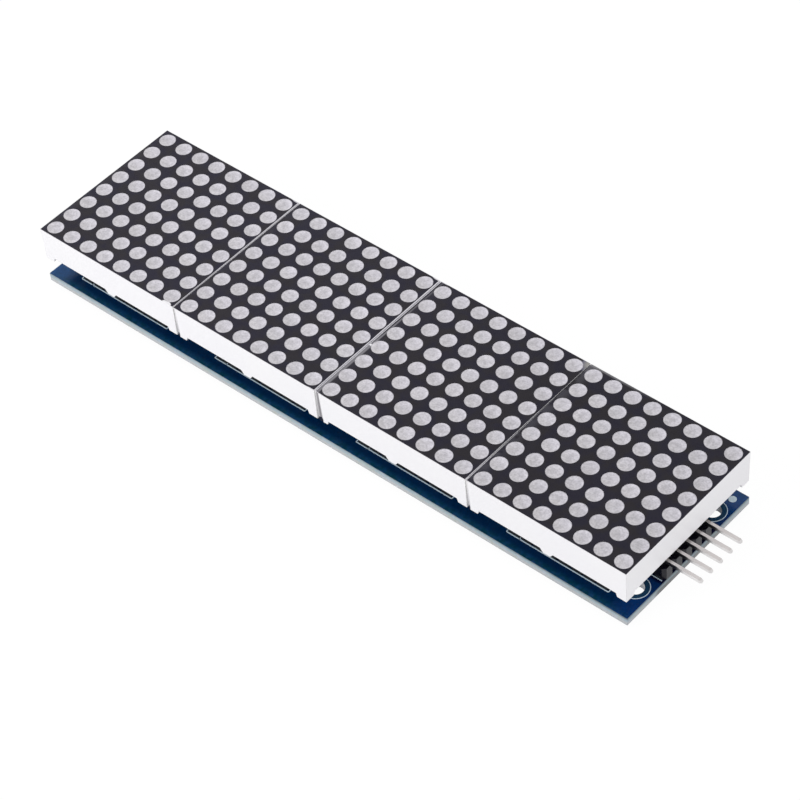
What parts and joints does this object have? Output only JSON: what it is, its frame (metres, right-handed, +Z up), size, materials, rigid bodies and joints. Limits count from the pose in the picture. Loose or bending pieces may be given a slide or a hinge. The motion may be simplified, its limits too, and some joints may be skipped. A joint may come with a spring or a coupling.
{
  "type": "led dot matrix module",
  "caption": "Long flat row of square dot matrix displays with black faces and pale round dots, on a blue circuit board with an angled pin header at one end.",
  "frame": {"origin": "middle of the board's underside, at the centre of its four screw holes", "axes": "+X along the row towards the input header, +Y across the row towards the rear sockets, +Z up through the display faces"},
  "size_m": [0.1342, 0.0318, 0.0135],
  "materials": {
    "board": "dark blue solder mask over glass fibre, semi-gloss",
    "tinned_copper": "tinned copper",
    "black_plastic": "moulded black plastic",
    "plated_pin": "tin plated brass",
    "solder": "bright solder",
    "white_housing": "moulded white plastic, face inked black",
    "milky_resin": "milky cast epoxy",
    "inner_board": "bare glass fibre board",
    "led_die": "semiconductor die",
    "turned_contact": "turned brass, tin plated",
    "chip_body": "moulded epoxy, matt",
    "ceramic": "fired ceramic with tinned caps",
    "resistor_body": "black glaze with tinned caps"
  },
  "bodies": {
    "root": {"circuit_board": "board", "output_pads": "tinned_copper", "header_base": "black_plastic", "header_pins": "plated_pin", "solder_joints": "solder", "housing_1": "white_housing", "housing_2": "white_housing", "housing_3": "white_housing", "housing_4": "white_housing", "resin_fill_1": "milky_resin", "resin_fill_2": "milky_resin", "resin_fill_3": "milky_resin", "resin_fill_4": "milky_resin", "chip_board_1": "inner_board", "chip_board_2": "inner_board", "chip_board_3": "inner_board", "chip_board_4": "inner_board", "led_dies_1": "led_die", "led_dies_2": "led_die", "led_dies_3": "led_die", "led_dies_4": "led_die", "display_pins_1": "plated_pin", "display_pins_2": "plated_pin", "display_pins_3": "plated_pin", "display_pins_4": "plated_pin", "socket_front_1": "black_plastic", "socket_front_2": "black_plastic", "socket_front_3": "black_plastic", "socket_front_4": "black_plastic", "socket_rear_1": "black_plastic", "socket_rear_2": "black_plastic", "socket_rear_3": "black_plastic", "socket_rear_4": "black_plastic", "socket_contacts_1": "turned_contact", "socket_contacts_2": "turned_contact", "socket_contacts_3": "turned_contact", "socket_contacts_4": "turned_contact", "driver_chip_1": "chip_body", "driver_chip_2": "chip_body", "driver_chip_3": "chip_body", "driver_chip_4": "chip_body", "chip_leads_1": "plated_pin", "chip_leads_2": "plated_pin", "chip_leads_3": "plated_pin", "chip_leads_4": "plated_pin", "bypass_capacitor_1": "ceramic", "bypass_capacitor_2": "ceramic", "bypass_capacitor_3": "ceramic", "bypass_capacitor_4": "ceramic", "bulk_capacitor_1": "ceramic", "bulk_capacitor_2": "ceramic", "bulk_capacitor_3": "ceramic", "bulk_capacitor_4": "ceramic", "set_resistor_1": "resistor_body", "set_resistor_2": "resistor_body", "set_resistor_3": "resistor_body", "set_resistor_4": "resistor_body"}
  },
  "joints": []
}
